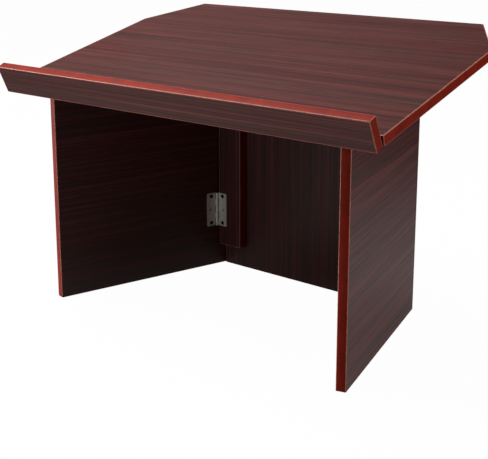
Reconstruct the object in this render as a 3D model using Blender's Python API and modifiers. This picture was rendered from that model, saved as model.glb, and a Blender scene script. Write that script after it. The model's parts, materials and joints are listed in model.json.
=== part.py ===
"""Folding table-top lectern stand: sloped desk with a book ledge, on a hinged three-panel frame.

Metres, +Z up, +X to the reader's right, +Y away from the reader. The world origin is on the
surface that the stand rests on, at the middle of the stand's bounding box. Everything is laid out
from one datum on that surface: the foot of the back panel's inner face, at X = 0. The empty
`Lectern_stand` stands there, and all pieces are its children or ride on a joint's empty under it.
"""

import math

import bmesh
import bpy
from mathutils import Matrix, Vector

MM = 0.001

# Boards and their edge bands
BOARD = 15 * MM
EDGE_BAND = 1.0 * MM

# Three-panel frame
INNER_WIDTH = 390 * MM  # between the side panels, along the back panel's inner face
SIDE_SPLAY = math.radians(15.5)  # each side panel past square, open
SIDE_FRONT_REACH = 337.5 * MM  # inner corner to the side panel's front edge
SIDE_REAR_REACH = 10.5 * MM  # inner corner to the side panel's rear edge
SIDE_LEVEL_REACH = 30 * MM  # pin to where the side panel's sloped top turns level
BATTEN_WIDTH = 50 * MM
BATTEN_FOOT = 40 * MM  # height of the batten's lower end
FOLD_CLEARANCE = 1.0 * MM  # between the two side panels when both are folded

# Desk
DESK_SLOPE = math.radians(14.5)
DESK_HEIGHT_AT_BACK = 448 * MM  # underside, over the back panel's inner face
DESK_FRONT_REACH = 348.3 * MM  # along the slope, from the back panel's inner face
DESK_REAR_REACH = 60.2 * MM
DESK_FRONT_WIDTH = 720 * MM
DESK_SHOULDER_WIDTH = 706 * MM  # where the cut rear corners start
DESK_REAR_WIDTH = 577 * MM
DESK_CORNER_CUT = 100 * MM  # depth of the cut corners, along the slope
SWING_CLEARANCE = 0.5 * MM  # a swinging side panel's top to the desk above it

# Book ledge, held to the desk's front edge through a tapered strip
LEDGE_OVERHANG = 2.0 * MM  # past each of the desk's front corners
LEDGE_WIDTH = 48 * MM
LEDGE_LEAN = math.radians(9.5)  # away from the reader's book, past square to the desk
LEDGE_LIFT = 2.0 * MM  # lower edge above the desk's underside
STRIP_THICKNESS = 6.3 * MM  # at the desk's underside
STRIP_SETBACK = 6.0 * MM  # strip's ends inside the desk's ends
DOWEL_RADIUS = 3.0 * MM
DOWEL_SIDES = 10
DOWEL_IN_LEDGE = 9.0 * MM
DOWEL_IN_DESK = 21.0 * MM
DOWEL_END_DISTANCE = 75 * MM  # outermost dowels to the desk's front corners
DOWEL_EDGE_DISTANCE = 5.5 * MM  # dowel's axis above the ledge's lower edge
DOWEL_COUNT = 4

# Butt hinges, one pattern for the side panels and for the desk
HINGE_LENGTH = 63 * MM
LEAF_WIDTH = 21 * MM  # from the pin's axis
LEAF_THICKNESS = 1.2 * MM
PIN_RADIUS = 1.5 * MM
PIN_STAND_OUT = 0.8 * MM  # past each end of the barrel
BARREL_WALL = 1.1 * MM
BARREL_COUNT = 5
BARREL_GAP = 0.3 * MM  # along the pin, between two knuckles
LOWER_HINGE_HEIGHT = 107.5 * MM
UPPER_HINGE_DROP = 118 * MM  # below the desk's underside at the back
DESK_HINGE_INSET = 65 * MM  # middle of a desk hinge to the inner corner beside it

# Countersunk wood screws
SCREW_HEAD_RADIUS = 3.5 * MM
SCREW_RADIUS = 1.5 * MM
SCREW_DEPTH = 11.5 * MM  # in the board
SCREW_REACH = 11.5 * MM  # from the pin's axis
SCREW_END_DISTANCE = 6.0 * MM  # from the leaf's ends
MIDDLE_HOLE_RADIUS = 2.3 * MM
MIDDLE_HOLE_REACH = 13.5 * MM

# Clearances
SEAT = 0.3 * MM  # between pieces that touch
PIN_CLEARANCE = 0.1 * MM
HEAD_CLEARANCE = 0.2 * MM

ROUND = 12  # sides of small round pieces
AXIS_X, AXIS_Y, AXIS_Z = Vector((1, 0, 0)), Vector((0, 1, 0)), Vector((0, 0, 1))

# Worked out from the sizes above
BARREL_RADIUS = PIN_RADIUS + PIN_CLEARANCE + BARREL_WALL
PIN_OFFSET = BARREL_RADIUS + SEAT  # pin's axis to the face that a leaf lies on
OPEN_ANGLE = math.pi / 2 + SIDE_SPLAY
BATTEN_THICKNESS = BOARD + FOLD_CLEARANCE
UP_SLOPE = Vector((0, math.cos(DESK_SLOPE), math.sin(DESK_SLOPE)))
DESK_NORMAL = Vector((0, -math.sin(DESK_SLOPE), math.cos(DESK_SLOPE)))


def desk_point(x, along, above):
    """A point `along` the slope from the back panel's inner face, `above` the desk's underside."""
    return AXIS_X * x + AXIS_Z * DESK_HEIGHT_AT_BACK + UP_SLOPE * along + DESK_NORMAL * above


def desk_underside(y):
    return DESK_HEIGHT_AT_BACK + y * math.tan(DESK_SLOPE)


# ---------------------------------------------------------------- scene and helpers


def clear_scene():
    for obj in list(bpy.data.objects):
        bpy.data.objects.remove(obj)


def new_collection(name, hidden=False):
    collection = bpy.data.collections.new(name)
    bpy.context.scene.collection.children.link(collection)
    collection.hide_render = hidden
    return collection


def new_material(name, rgb, roughness, metallic=0.0):
    material = bpy.data.materials.new(name)
    material.use_nodes = True
    shader = material.node_tree.nodes["Principled BSDF"]
    shader.inputs["Base Color"].default_value = (*rgb, 1)
    shader.inputs["Roughness"].default_value = roughness
    shader.inputs["Metallic"].default_value = metallic
    material.diffuse_color = (*rgb, 1)
    return material


def new_empty(name, parent=None, location=(0, 0, 0)):
    empty = bpy.data.objects.new(name, None)
    empty.empty_display_size = 0.03
    empty.parent = parent
    empty.location = location
    stand.objects.link(empty)
    return empty


def new_object(name, mesh, material=None, collection=None):
    obj = bpy.data.objects.new(name, mesh)
    (collection or stand).objects.link(obj)
    if material and not mesh.materials:
        mesh.materials.append(material)
    return obj


def place(obj, parent, origin, x_axis=AXIS_X, y_axis=AXIS_Y):
    """Puts the object's own X and Y along two square directions of its parent."""
    turn = Matrix((x_axis, y_axis, x_axis.cross(y_axis))).transposed()
    obj.parent = parent
    obj.matrix_local = Matrix.Translation(origin) @ turn.to_4x4()
    return obj


def plate_mesh(name, outlines, thickness):
    """A flat board from closed outlines in XY, the later ones holes, centred on Z = 0."""
    curve = bpy.data.curves.new(name, "CURVE")
    curve.dimensions = "2D"
    curve.fill_mode = "BOTH"
    curve.extrude = thickness / 2
    for outline in outlines:
        spline = curve.splines.new("POLY")
        spline.points.add(len(outline) - 1)
        for point, (x, y) in zip(spline.points, outline):
            point.co = (x, y, 0, 1)
        spline.use_cyclic_u = True
    guide = bpy.data.objects.new(name, curve)
    bpy.context.scene.collection.objects.link(guide)
    graph = bpy.context.evaluated_depsgraph_get()
    mesh = bpy.data.meshes.new_from_object(guide.evaluated_get(graph))
    bpy.data.objects.remove(guide)
    bpy.data.curves.remove(curve)
    work = bmesh.new()
    work.from_mesh(mesh)
    bmesh.ops.remove_doubles(work, verts=work.verts, dist=0.00001)
    bmesh.ops.recalc_face_normals(work, faces=work.faces)
    work.to_mesh(mesh)
    work.free()
    mesh.name = name
    return mesh


def rod_mesh(name, radius, length, end_radius=None, sides=ROUND):
    """A cylinder or cone along Z from 0 to length."""
    mesh = bpy.data.meshes.new(name)
    work = bmesh.new()
    bmesh.ops.create_cone(
        work,
        cap_ends=True,
        segments=sides,
        radius1=radius,
        radius2=radius if end_radius is None else end_radius,
        depth=length,
        matrix=Matrix.Translation((0, 0, length / 2)) @ Matrix.Rotation(math.pi / sides, 4, "Z"),
    )
    work.to_mesh(mesh)
    work.free()
    shade_round(mesh)
    return mesh


def shade_round(mesh):
    mesh.shade_smooth()
    mesh.set_sharp_from_angle(angle=math.radians(35))


def combine(obj, operation, operand):
    """A Boolean with one object, or with every object of a collection."""
    modifier = obj.modifiers.new(operation.title(), "BOOLEAN")
    modifier.operation = operation
    modifier.solver = "EXACT"
    if isinstance(operand, bpy.types.Collection):
        modifier.operand_type = "COLLECTION"
        modifier.collection = operand
    else:
        modifier.object = operand
    return modifier


def cutter_group(name):
    group = bpy.data.collections.new(name)
    cutters.children.link(group)
    return group


def add_cutter(group, name, mesh, parent, origin, x_axis=AXIS_X, y_axis=AXIS_Y):
    cutter = new_object(name, mesh, collection=group)
    cutter.hide_render = True
    cutter.display_type = "WIRE"
    return place(cutter, parent, origin, x_axis, y_axis)


def inset(outline, distance):
    """A convex outline, listed anticlockwise, moved in by a distance on every side."""
    count = len(outline)
    lines = []
    for i in range(count):
        start, end = Vector(outline[i]), Vector(outline[(i + 1) % count])
        run = (end - start).normalized()
        lines.append((start + Vector((-run.y, run.x)) * distance, run))
    points = []
    for i in range(count):
        (a, run_a), (b, run_b) = lines[i - 1], lines[i]
        step = (b - a).cross(run_b) / run_a.cross(run_b)
        points.append(tuple(a + run_a * step))
    return points


def banded_board(name, outline, thickness, bare_foot=False):
    """Meshes of a board and of the band round its edges, which leaves a foot at Y = 0 bare."""
    core = inset(outline, EDGE_BAND + SEAT)
    inside = inset(outline, EDGE_BAND)
    if not bare_foot:
        return (
            plate_mesh(name, [core], thickness),
            plate_mesh(name + "_edge_band", [outline, inside], thickness),
        )
    # The first two points are the foot: the board comes down to it, and the band is a U.
    (left, _), (right, _) = outline[:2]
    margin = EDGE_BAND + SEAT
    board = [(left + margin, 0), (right - margin, 0), *core[2:]]
    band = [
        (left, SEAT),
        (left + EDGE_BAND, SEAT),
        *reversed(inside[2:]),
        (right - EDGE_BAND, SEAT),
        (right, SEAT),
        *outline[2:],
    ]
    return plate_mesh(name, [board], thickness), plate_mesh(name + "_edge_band", [band], thickness)


def add_banded_board(name, outline, thickness, parent, origin, x_axis, y_axis, bare_foot=False):
    board_shape, band_shape = banded_board(name, outline, thickness, bare_foot)
    board = place(new_object(name, board_shape, laminate), parent, origin, x_axis, y_axis)
    band = new_object(name + "_edge_band", band_shape, band_plastic)
    place(band, parent, origin, x_axis, y_axis)
    return board, band


# ---------------------------------------------------------------- three-panel frame


def make_back_panel(parent):
    """Stands between the side panels; the desk rests on the inner arris of its square top."""
    half = INNER_WIDTH / 2 - SIDE_REAR_REACH * math.sin(SIDE_SPLAY) - SEAT
    top = desk_underside(0) - SEAT
    outline = [(-half, 0), (half, 0), (half, top), (-half, top)]
    middle = AXIS_Y * (BOARD / 2)
    return add_banded_board(
        "back_panel", outline, BOARD, parent, middle, AXIS_X, AXIS_Z, bare_foot=True
    )


def make_batten(parent):
    """Fixed on the back panel at its left end, as thick as a folded side panel and its play."""
    left = -INNER_WIDTH / 2 + 2 * SEAT
    foot, top = BATTEN_FOOT, desk_underside(-BATTEN_THICKNESS) - SWING_CLEARANCE
    outline = [(left, foot), (left + BATTEN_WIDTH, foot), (left + BATTEN_WIDTH, top), (left, top)]
    middle = AXIS_Y * (-SEAT - (BATTEN_THICKNESS - SEAT) / 2)
    return add_banded_board(
        "hinge_batten", outline, BATTEN_THICKNESS - SEAT, parent, middle, AXIS_X, AXIS_Z
    )


def pin_place(side):
    """A side panel's pin: PIN_OFFSET off the face behind it and off the open panel's face."""
    behind = BATTEN_THICKNESS if side < 0 else 0
    corner = INNER_WIDTH / 2 + behind * math.tan(SIDE_SPLAY)
    return Vector((side * (corner - PIN_OFFSET / math.tan(OPEN_ANGLE / 2)), -behind - PIN_OFFSET, 0))


def make_side_panel(name, side, axis):
    """Outline along the panel from its pin: the top clears the desk all the way round its swing."""
    pin = axis.location
    behind = -pin.y - PIN_OFFSET
    corner_to_pin = behind / math.cos(SIDE_SPLAY) + PIN_OFFSET / math.tan(OPEN_ANGLE / 2)
    front = SIDE_FRONT_REACH - corner_to_pin
    rear = SIDE_REAR_REACH + corner_to_pin
    outer_face = PIN_OFFSET + BOARD
    level = SIDE_LEVEL_REACH

    def top(reach):
        nearest = pin.y - math.hypot(reach, outer_face)
        return desk_underside(nearest) - SWING_CLEARANCE

    outline = [(-rear, 0), (front, 0), (front, top(front)), (level, top(level)), (-rear, top(level))]
    forward = Vector((side * math.sin(SIDE_SPLAY), -math.cos(SIDE_SPLAY), 0))
    outward = Vector((side * math.cos(SIDE_SPLAY), math.sin(SIDE_SPLAY), 0))
    middle = outward * (PIN_OFFSET + BOARD / 2)
    return add_banded_board(name, outline, BOARD, axis, middle, forward, AXIS_Z, bare_foot=True)


# ---------------------------------------------------------------- desk and ledge


def make_desk(axis):
    rear = DESK_REAR_REACH
    shoulder = rear - DESK_CORNER_CUT
    outline = [
        (-DESK_FRONT_WIDTH / 2, -DESK_FRONT_REACH),
        (DESK_FRONT_WIDTH / 2, -DESK_FRONT_REACH),
        (DESK_SHOULDER_WIDTH / 2, shoulder),
        (DESK_REAR_WIDTH / 2, rear),
        (-DESK_REAR_WIDTH / 2, rear),
        (-DESK_SHOULDER_WIDTH / 2, shoulder),
    ]
    middle = desk_point(0, 0, BOARD / 2) - axis.location
    return add_banded_board("desk_board", outline, BOARD, axis, middle, AXIS_X, UP_SLOPE)


def ledge_axes():
    """The ledge's back face direction, upwards, and its normal, towards the desk."""
    rise = DESK_NORMAL * math.cos(LEDGE_LEAN) - UP_SLOPE * math.sin(LEDGE_LEAN)
    return rise, AXIS_X.cross(rise) * -1


def make_ledge(axis):
    rise, to_desk = ledge_axes()
    foot = desk_point(0, -DESK_FRONT_REACH - STRIP_THICKNESS, 0) + rise * LEDGE_LIFT
    half = DESK_FRONT_WIDTH / 2 + LEDGE_OVERHANG
    outline = [(-half, 0), (half, 0), (half, LEDGE_WIDTH), (-half, LEDGE_WIDTH)]
    middle = foot - to_desk * (BOARD / 2) - axis.location
    return add_banded_board("book_ledge", outline, BOARD, axis, middle, AXIS_X, rise)


def make_ledge_strip(axis):
    """Fills the tapered gap between the desk's front edge and the ledge."""
    taper = math.tan(LEDGE_LEAN)
    thick = STRIP_THICKNESS - SEAT
    outline = [(-SEAT, 0), (-SEAT, BOARD), (-thick - BOARD * taper, BOARD), (-thick, 0)]
    length = DESK_FRONT_WIDTH - 2 * STRIP_SETBACK
    strip = new_object("ledge_strip", plate_mesh("ledge_strip", [outline], length), strip_wood)
    origin = desk_point(0, -DESK_FRONT_REACH, 0) - axis.location
    return place(strip, axis, origin, UP_SLOPE, DESK_NORMAL)


def make_ledge_dowels(axis, holes):
    """Dowels along the slope, through the strip, and the blind holes that hold them."""
    height = LEDGE_LIFT + DOWEL_EDGE_DISTANCE
    ledge_face = STRIP_THICKNESS + height * math.tan(LEDGE_LEAN)
    start = -DESK_FRONT_REACH - ledge_face - DOWEL_IN_LEDGE
    length = ledge_face + DOWEL_IN_LEDGE + DOWEL_IN_DESK
    shape = rod_mesh("ledge_dowel", DOWEL_RADIUS, length, sides=DOWEL_SIDES)
    bore = DOWEL_RADIUS + SEAT
    hole = rod_mesh("ledge_dowel_hole", bore, length + 2 * SEAT, sides=DOWEL_SIDES)
    outermost = DESK_FRONT_WIDTH / 2 - DOWEL_END_DISTANCE
    for i in range(DOWEL_COUNT):
        x = (2 * i / (DOWEL_COUNT - 1) - 1) * outermost
        dowel = new_object(f"ledge_dowel_{i + 1}", shape, dowel_wood)
        place(dowel, axis, desk_point(x, start, height) - axis.location, DESK_NORMAL, AXIS_X)
        origin = desk_point(x, start - SEAT, height) - axis.location
        add_cutter(holes, f"dowel_hole_{i + 1}", hole, axis, origin, DESK_NORMAL, AXIS_X)


# ---------------------------------------------------------------- hinges and screws


def knuckle_spans(first):
    """Start and end along the pin of every other knuckle, from the first or the second."""
    pitch = HINGE_LENGTH / BARREL_COUNT
    for i in range(first, BARREL_COUNT, 2):
        low = -HINGE_LENGTH / 2 + i * pitch + (BARREL_GAP / 2 if i else 0)
        high = -HINGE_LENGTH / 2 + (i + 1) * pitch - (BARREL_GAP / 2 if i < BARREL_COUNT - 1 else 0)
        yield low, high


def leaf_mesh(name, first):
    """One leaf. The pin is on Z, the plate runs out along +X, and the board's face is at +Y."""
    inner = BARREL_RADIUS + SEAT
    half = HINGE_LENGTH / 2
    comb = [(inner, -half), (LEAF_WIDTH, -half), (LEAF_WIDTH, half), (inner, half)]
    for low, high in reversed(list(knuckle_spans(first))):
        top, bottom = high - SEAT, low + SEAT
        comb += [(inner, top), (0, top), (0, bottom), (inner, bottom)]
    plate = new_object(name, plate_mesh(name, [comb], LEAF_THICKNESS), collection=workshop)
    face = PIN_OFFSET - SEAT - LEAF_THICKNESS
    place(plate, None, AXIS_Y * (face + LEAF_THICKNESS / 2), AXIS_X, AXIS_Z)
    tools = []
    for low, high in knuckle_spans(first):
        barrel = new_object("barrel", rod_mesh("barrel", BARREL_RADIUS, high - low), collection=workshop)
        barrel.location.z = low
        combine(plate, "UNION", barrel)
        tools.append(barrel)
    bore_radius = PIN_RADIUS + PIN_CLEARANCE
    bore = new_object("bore", rod_mesh("bore", bore_radius, 2 * HINGE_LENGTH), collection=workshop)
    bore.location.z = -HINGE_LENGTH
    tools.append(bore)
    holes = [(reach, z, SCREW_HEAD_RADIUS, SCREW_RADIUS) for reach, z in screw_places()]
    holes.append((MIDDLE_HOLE_REACH, 0, MIDDLE_HOLE_RADIUS, MIDDLE_HOLE_RADIUS / 2))
    for reach, z, head, shank in holes:
        # The cone runs past both faces of the plate at the slope of the screw's head.
        slope = (head - shank) / LEAF_THICKNESS
        wide = head + HEAD_CLEARANCE + slope * SEAT
        narrow = shank + HEAD_CLEARANCE - slope * SEAT / 2
        depth = LEAF_THICKNESS + 1.5 * SEAT
        cone = new_object("screw_hole", rod_mesh("screw_hole", wide, depth, narrow), collection=workshop)
        place(cone, None, Vector((reach, face - SEAT, z)), AXIS_X, -AXIS_Z)
        tools.append(cone)
    for tool in tools[-len(holes) - 1 :]:
        combine(plate, "DIFFERENCE", tool)
    bpy.context.view_layer.update()
    graph = bpy.context.evaluated_depsgraph_get()
    mesh = bpy.data.meshes.new_from_object(plate.evaluated_get(graph))
    mesh.transform(plate.matrix_world)
    mesh.name = name
    mesh.materials.clear()
    for tool in (plate, *tools):
        bpy.data.objects.remove(tool)
    shade_round(mesh)
    return mesh


def screw_places():
    """The outer screws of a leaf, as (distance from the pin, height)."""
    height = HINGE_LENGTH / 2 - SCREW_END_DISTANCE
    return [(SCREW_REACH, height), (SCREW_REACH, -height)]


def screw_mesh():
    """A countersunk screw along Z, its head's face at 0 and its point downwards into the wood."""
    depth = LEAF_THICKNESS + SEAT + SCREW_DEPTH
    profile = [
        (0, 0),
        (SCREW_HEAD_RADIUS, 0),
        (SCREW_RADIUS, -LEAF_THICKNESS),
        (SCREW_RADIUS, SCREW_RADIUS - depth),
        (0, -depth),
    ]
    mesh = bpy.data.meshes.new("hinge_screw_profile")
    work = bmesh.new()
    points = [work.verts.new((x, 0, z)) for x, z in profile]
    for start, end in zip(points, points[1:]):
        work.edges.new((start, end))
    work.to_mesh(mesh)
    work.free()
    turned = new_object("hinge_screw_profile", mesh, collection=workshop)
    lathe = turned.modifiers.new("Screw", "SCREW")
    lathe.steps = lathe.render_steps = ROUND
    lathe.use_merge_vertices = True
    lathe.merge_threshold = 0.00001
    graph = bpy.context.evaluated_depsgraph_get()
    shape = bpy.data.meshes.new_from_object(turned.evaluated_get(graph))
    shape.name = "hinge_screw"
    bpy.data.objects.remove(turned)
    shade_round(shape)
    return shape


class HingeKit:
    """The meshes that every hinge shares."""

    def __init__(self):
        self.fixed = leaf_mesh("fixed_leaf", 0)
        self.moving = leaf_mesh("moving_leaf", 1)
        self.pin = rod_mesh("hinge_pin", PIN_RADIUS, HINGE_LENGTH + 2 * PIN_STAND_OUT)
        self.screw = screw_mesh()
        depth = SCREW_DEPTH + 2 * SEAT
        self.pilot = rod_mesh("pilot_hole", SCREW_RADIUS + SEAT, depth + SEAT)


def add_leaf(kit, name, shape, parent, origin, plate_way, board_way, board_holes):
    """A leaf, its two screws, and their pilot holes in the board behind it."""
    leaf = place(new_object(name, shape, hinge_steel), parent, origin, plate_way, board_way)
    face = PIN_OFFSET - SEAT - LEAF_THICKNESS
    for i, (reach, height) in enumerate(screw_places(), 1):
        screw = new_object(f"{name}_screw_{i}", kit.screw, screw_steel)
        place(screw, leaf, Vector((reach, face, height)), AXIS_X, AXIS_Z)
        start = Vector((reach, PIN_OFFSET - SEAT, height))
        add_cutter(board_holes, f"{name}_pilot_{i}", kit.pilot, leaf, start, AXIS_X, -AXIS_Z)
    return leaf


def add_hinge(kit, name, fixed_parent, moving_axis, origin, fixed_ways, moving_ways, holes):
    """A whole hinge at `origin`, which is on the moving axis, given in the stand's own place."""
    add_leaf(kit, name + "_fixed_leaf", kit.fixed, fixed_parent, origin, *fixed_ways, holes[0])
    at_axis = origin - moving_axis.location
    add_leaf(kit, name + "_moving_leaf", kit.moving, moving_axis, at_axis, *moving_ways, holes[1])
    pin = new_object(name + "_pin", kit.pin, hinge_steel)
    plate_way, board_way = fixed_ways
    along = plate_way.cross(board_way)
    start = origin - along * (HINGE_LENGTH / 2 + PIN_STAND_OUT)
    place(pin, fixed_parent, start, plate_way, board_way)


def make_side_hinges(kit, name, side, root, axis, fixed_holes, panel_holes):
    forward = Vector((side * math.sin(SIDE_SPLAY), -math.cos(SIDE_SPLAY), 0))
    outward = Vector((side * math.cos(SIDE_SPLAY), math.sin(SIDE_SPLAY), 0))
    fixed_ways = (AXIS_X * -side, AXIS_Y)
    for level, height in (("lower", LOWER_HINGE_HEIGHT), ("upper", DESK_HEIGHT_AT_BACK - UPPER_HINGE_DROP)):
        origin = axis.location + AXIS_Z * height
        add_hinge(
            kit,
            f"{name}_{level}_hinge",
            root,
            axis,
            origin,
            fixed_ways,
            (forward, outward),
            (fixed_holes, panel_holes),
        )


def make_desk_hinges(kit, root, axis, back_holes, desk_holes):
    for name, side in (("left", -1), ("right", 1)):
        origin = axis.location + AXIS_X * (side * (INNER_WIDTH / 2 - DESK_HINGE_INSET))
        add_hinge(
            kit,
            f"desk_{name}_hinge",
            root,
            axis,
            origin,
            (-AXIS_Z, -AXIS_Y),
            (UP_SLOPE, DESK_NORMAL),
            (back_holes, desk_holes),
        )


# ---------------------------------------------------------------- the stand


def depth_middle():
    """Halfway between the ledge's front and the desk's rear edge."""
    rise, to_desk = ledge_axes()
    foot = desk_point(0, -DESK_FRONT_REACH - STRIP_THICKNESS, 0)
    front = foot + rise * (LEDGE_LIFT + LEDGE_WIDTH) - to_desk * BOARD
    rear = desk_point(0, DESK_REAR_REACH, 0)
    return (front.y + rear.y) / 2


def build():
    root = new_empty("Lectern_stand", location=(0, -depth_middle(), 0))
    desk_pin = Vector((0, BOARD + PIN_OFFSET, 0))
    desk_pin.z = desk_underside(desk_pin.y) - PIN_OFFSET / math.cos(DESK_SLOPE)
    left_axis = new_empty("left_fold_axis", root, pin_place(-1))
    right_axis = new_empty("right_fold_axis", root, pin_place(1))
    desk_axis = new_empty("desk_tilt_axis", root, desk_pin)

    back, _ = make_back_panel(root)
    batten, _ = make_batten(root)
    left, _ = make_side_panel("left_side_panel", -1, left_axis)
    right, _ = make_side_panel("right_side_panel", 1, right_axis)
    desk, desk_band = make_desk(desk_axis)
    ledge, _ = make_ledge(desk_axis)
    strip = make_ledge_strip(desk_axis)

    boards = {"back": back, "batten": batten, "left": left, "right": right, "desk": desk}
    holes = {name: cutter_group(name + "_pilot_holes") for name in boards}
    dowel_holes = cutter_group("dowel_holes")
    make_ledge_dowels(desk_axis, dowel_holes)
    kit = HingeKit()
    make_side_hinges(kit, "left", -1, root, left_axis, holes["batten"], holes["left"])
    make_side_hinges(kit, "right", 1, root, right_axis, holes["back"], holes["right"])
    make_desk_hinges(kit, root, desk_axis, holes["back"], holes["desk"])
    for name, board in boards.items():
        combine(board, "DIFFERENCE", holes[name])
    for piece in (desk, desk_band, ledge, strip):
        combine(piece, "DIFFERENCE", dowel_holes)


clear_scene()
stand = new_collection("Lectern stand")
cutters = new_collection("Cutters", hidden=True)
workshop = new_collection("Workshop", hidden=True)
laminate = new_material("mahogany_laminate", (0.085, 0.036, 0.032), 0.42)
band_plastic = new_material("red_brown_edge_band", (0.26, 0.045, 0.03), 0.38)
strip_wood = new_material("stained_strip", (0.05, 0.022, 0.018), 0.6)
dowel_wood = new_material("beech_dowel", (0.62, 0.43, 0.26), 0.65)
hinge_steel = new_material("zinc_plated_steel", (0.72, 0.72, 0.70), 0.3, 1.0)
screw_steel = new_material("black_screw_steel", (0.03, 0.03, 0.03), 0.4, 1.0)
build()
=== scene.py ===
"""Looks of the folding table-top lectern stand, laid out as a Blender add-on.

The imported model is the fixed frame: its boards stay and take their laminate, and the edge bands,
hinge leaves, pins and screws are made again in finer detail where the frame has them. Metres.
"""

import json
import math

import bmesh
import bpy
from bpy.props import FloatProperty, FloatVectorProperty, IntProperty, PointerProperty
from mathutils import Euler, Matrix, Vector


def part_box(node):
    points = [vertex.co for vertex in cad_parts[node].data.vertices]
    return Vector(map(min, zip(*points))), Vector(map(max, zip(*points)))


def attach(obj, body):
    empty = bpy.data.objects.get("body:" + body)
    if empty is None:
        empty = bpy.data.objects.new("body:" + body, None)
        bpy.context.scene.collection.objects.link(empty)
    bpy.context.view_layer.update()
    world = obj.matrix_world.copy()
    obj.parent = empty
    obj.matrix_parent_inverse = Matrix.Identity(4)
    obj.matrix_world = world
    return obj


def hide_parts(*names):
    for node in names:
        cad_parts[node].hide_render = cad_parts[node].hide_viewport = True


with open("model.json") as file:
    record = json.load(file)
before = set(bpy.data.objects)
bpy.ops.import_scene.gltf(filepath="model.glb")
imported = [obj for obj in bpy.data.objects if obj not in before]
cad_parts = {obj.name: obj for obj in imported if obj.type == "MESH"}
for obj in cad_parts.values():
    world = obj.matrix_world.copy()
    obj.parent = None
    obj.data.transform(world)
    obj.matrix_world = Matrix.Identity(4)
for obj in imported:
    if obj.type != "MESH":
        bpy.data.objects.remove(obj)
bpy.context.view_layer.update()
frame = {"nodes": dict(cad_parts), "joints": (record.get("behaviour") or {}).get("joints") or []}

bl_info = {
    "name": "Lectern Stand",
    "version": (1, 0, 0),
    "blender": (4, 5, 0),
    "location": "3D View > Sidebar > Lectern",
    "description": "Makes the edge bands, hinges, screws and finishes of a folding lectern stand",
    "category": "Object",
}

MM = 0.001


def linear(code):
    """An sRGB hex colour as linear red, green and blue."""
    parts = [int(code[i : i + 2], 16) / 255 for i in (0, 2, 4)]
    return tuple(c / 12.92 if c <= 0.04045 else ((c + 0.055) / 1.055) ** 2.4 for c in parts)


# ---------------------------------------------------------------- what the frame says

AXIS_X, AXIS_Y, AXIS_Z = Vector((1, 0, 0)), Vector((0, 1, 0)), Vector((0, 0, 1))
JOINTS = {joint["name"]: joint for joint in frame["joints"]}
SPLAY = math.radians(JOINTS["left_fold"]["range_deg"][1] - 90)
SLOPE = math.radians(JOINTS["desk_tilt"]["range_deg"][1] - 90)
UP_SLOPE = Vector((0, math.cos(SLOPE), math.sin(SLOPE)))
DESK_NORMAL = Vector((0, -math.sin(SLOPE), math.cos(SLOPE)))
FORWARD = {side: Vector((side * math.sin(SPLAY), -math.cos(SPLAY), 0)) for side in (-1, 1)}
OUTWARD = {side: Vector((side * math.cos(SPLAY), math.sin(SPLAY), 0)) for side in (-1, 1)}


def ledge_rise():
    """The upward direction of the ledge's faces, from its lowest front and back corners."""
    points = [v.co for v in frame["nodes"]["book_ledge_edge_band"].data.vertices]
    front_top = min(points, key=lambda p: p.y)
    front_foot = min(points, key=lambda p: p.z)
    return (Vector((0, front_top.y, front_top.z)) - Vector((0, front_foot.y, front_foot.z))).normalized()


LEDGE_RISE = ledge_rise()

# Each board: its body, the directions along and up its face, and whether its foot is bare.
BOARDS = {
    "back_panel": ("frame", AXIS_X, AXIS_Z, True),
    "hinge_batten": ("frame", AXIS_X, AXIS_Z, False),
    "left_side_panel": ("left_side", FORWARD[-1], AXIS_Z, True),
    "right_side_panel": ("right_side", FORWARD[1], AXIS_Z, True),
    "desk_board": ("desk", AXIS_X, UP_SLOPE, False),
    "book_ledge": ("desk", AXIS_X, LEDGE_RISE, False),
}


def hinge_table():
    """Each hinge: the bodies of its two leaves, and each leaf's way out from the pin and to its board."""
    rows = {}
    for name, side in (("left", -1), ("right", 1)):
        for level in ("lower", "upper"):
            rows[f"{name}_{level}_hinge"] = {
                "fixed": ("frame", AXIS_X * -side, AXIS_Y),
                "moving": (f"{name}_side", FORWARD[side], OUTWARD[side]),
            }
    for name in ("left", "right"):
        rows[f"desk_{name}_hinge"] = {
            "fixed": ("frame", -AXIS_Z, -AXIS_Y),
            "moving": ("desk", UP_SLOPE, DESK_NORMAL),
        }
    return rows


HINGES = hinge_table()
LARGEST_ROUND_FACE = 30 * MM * MM  # a hinge's larger faces are flats of its plate


# ---------------------------------------------------------------- settings


def length(name, default_mm, about):
    return FloatProperty(name=name, description=about, default=default_mm * MM, min=0, unit="LENGTH")


def colour(name, code, about):
    return FloatVectorProperty(
        name=name, description=about, default=linear(code), size=3, min=0, max=1, subtype="COLOR"
    )


class BandSettings(bpy.types.PropertyGroup):
    cover: length("Cover", 1.28, "Depth of the band from a board's edge to its laminate")
    arris: length("Arris", 1.0, "Radius to which the band's long edges are trimmed")
    corner: length("Corner", 1.0, "Flat filed on the band's upright corners")
    colour: colour("Colour", "96220D", "Colour of the edge band")
    scraped: colour("Scraped colour", "D98A76", "Colour of the band where the trimmer scraped it")


class LaminateSettings(bpy.types.PropertyGroup):
    dark: colour("Dark grain", "240C0B", "Colour of the grain's pores and dark streaks")
    middle: colour("Middle", "582522", "Ground colour of the wood print")
    light: colour("Light grain", "84453D", "Colour of the light streaks")
    red: colour("Red figure", "661F1B", "Colour of the redder figure in the print")
    grey: colour("Grey figure", "553029", "Colour of the greyer figure in the print")
    tint: FloatProperty(name="Figure", description="Share of the figure's colour", default=0.35)
    pore: length("Pore", 0.7, "Width of the printed pores")
    fine: length("Fine streak", 1.9, "Width of the finest streaks")
    medium: length("Medium streak", 4.6, "Width of the grain lines")
    broad: length("Broad figure", 26.0, "Width of the light and dark figure")


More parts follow.
